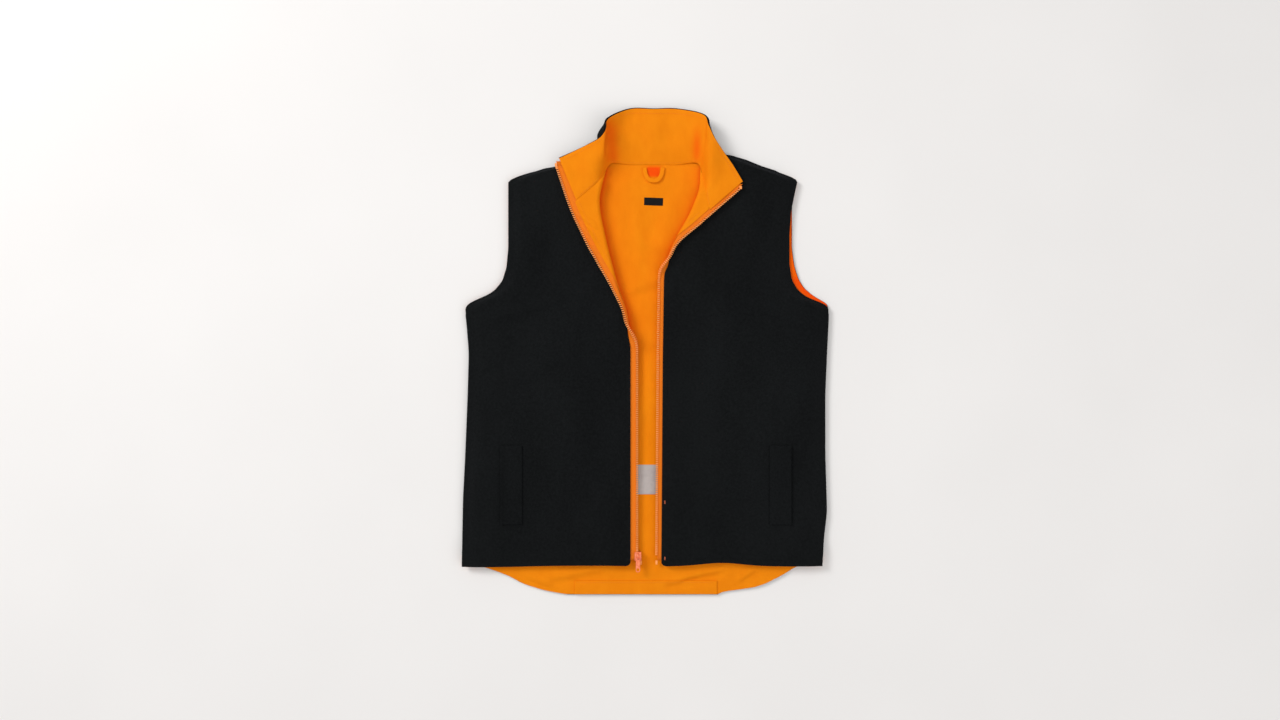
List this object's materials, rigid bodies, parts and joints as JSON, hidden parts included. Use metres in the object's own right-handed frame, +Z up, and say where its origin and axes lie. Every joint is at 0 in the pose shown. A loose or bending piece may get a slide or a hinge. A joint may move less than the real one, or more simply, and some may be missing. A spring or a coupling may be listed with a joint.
{
  "type": "work vest",
  "caption": "Reversible sleeveless vest, black fleece outside and blaze orange inside, laid flat with its zip open, collar turned out and tail dropped.",
  "frame": {"origin": "under the middle of the vest's box, on the table it lies on", "axes": "+Z up off the table, +Y towards the collar, +X towards the front that is on the right seen from above"},
  "size_m": [0.62, 0.8225, 0.0463],
  "materials": {
    "black_fleece": "short-pile black fleece, dull, with fine nap",
    "orange_lining": "fluorescent blaze orange polyester weave, slight sheen",
    "zip_tape": "orange herringbone zip tape",
    "zip_plastic": "moulded orange plastic",
    "slider_lacquer": "orange lacquer on a die-cast slider",
    "reflective": "silver-grey glass-bead reflective tape",
    "label": "plain black woven label"
  },
  "bodies": {
    "root": {"back_fleece": "black_fleece", "back_lining": "orange_lining", "back_reflective_band": "reflective", "collar_inner_lining": "orange_lining", "collar_interlining": "zip_tape", "collar_outer_fleece": "black_fleece", "left_front_fleece": "black_fleece", "left_front_lining": "orange_lining", "left_front_reflective_band": "reflective", "left_lapel_fleece": "black_fleece", "left_lapel_lining": "orange_lining", "left_pocket_bag": "black_fleece", "left_pocket_welt": "black_fleece", "left_shoulder_seam": "black_fleece", "left_side_seam": "black_fleece", "left_zip_tape_upper": "zip_tape", "left_zip_teeth_upper": "zip_plastic", "left_zip_top_stop": "zip_plastic", "neck_label": "label", "right_front_fleece": "black_fleece", "right_front_lining": "orange_lining", "right_front_reflective_band": "reflective", "right_lapel_fleece": "black_fleece", "right_lapel_lining": "orange_lining", "right_pocket_bag": "black_fleece", "right_pocket_welt": "black_fleece", "right_shoulder_seam": "black_fleece", "right_side_seam": "black_fleece", "right_zip_tape_upper": "zip_tape", "right_zip_teeth_upper": "zip_plastic", "right_zip_top_stop": "zip_plastic", "tail_hem_casing": "orange_lining", "tail_hem_elastic": "zip_tape"},
    "left_flap": {"left_flap_fleece": "black_fleece", "left_flap_lining": "orange_lining", "left_flap_reflective_band": "reflective", "left_zip_tape_lower": "zip_tape", "left_zip_teeth_lower": "zip_plastic", "zip_retaining_box": "zip_plastic"},
    "right_flap": {"right_flap_fleece": "black_fleece", "right_flap_lining": "orange_lining", "right_flap_reflective_band": "reflective", "right_zip_tape_lower": "zip_tape", "right_zip_teeth_lower": "zip_plastic", "zip_insertion_pin": "zip_plastic"},
    "slider": {"zip_slider_body": "slider_lacquer", "zip_slider_rail": "slider_lacquer"},
    "puller": {"zip_puller": "slider_lacquer"},
    "loop": {"hanger_loop": "orange_lining"}
  },
  "joints": [
    {"name": "left_front_fold", "type": "hinge", "parent": "root", "child": "left_flap", "pos_m": [-0.026, -0.065, 0.01665], "axis": [-0.3741, -0.9274, 0], "range_deg": [0, 150]},
    {"name": "right_front_fold", "type": "hinge", "parent": "root", "child": "right_flap", "pos_m": [0.029, 0.06, 0.01665], "axis": [-0.3081, 0.9514, 0], "range_deg": [0, 150]},
    {"name": "slider_slide", "type": "slide", "parent": "left_flap", "child": "slider", "axis": [0, 1, 0], "range_m": [0, 0.2]},
    {"name": "puller_flip", "type": "hinge", "parent": "slider", "child": "puller", "pos_m": [-0.0135, -0.34195, 0.0197], "axis": [-1, 0, 0], "range_deg": [0, 165]},
    {"name": "hanger_loop_lift", "type": "hinge", "parent": "root", "child": "loop", "pos_m": [0.013, 0.317, 0.0046], "axis": [-1, 0, 0], "range_deg": [0, 120]}
  ]
}
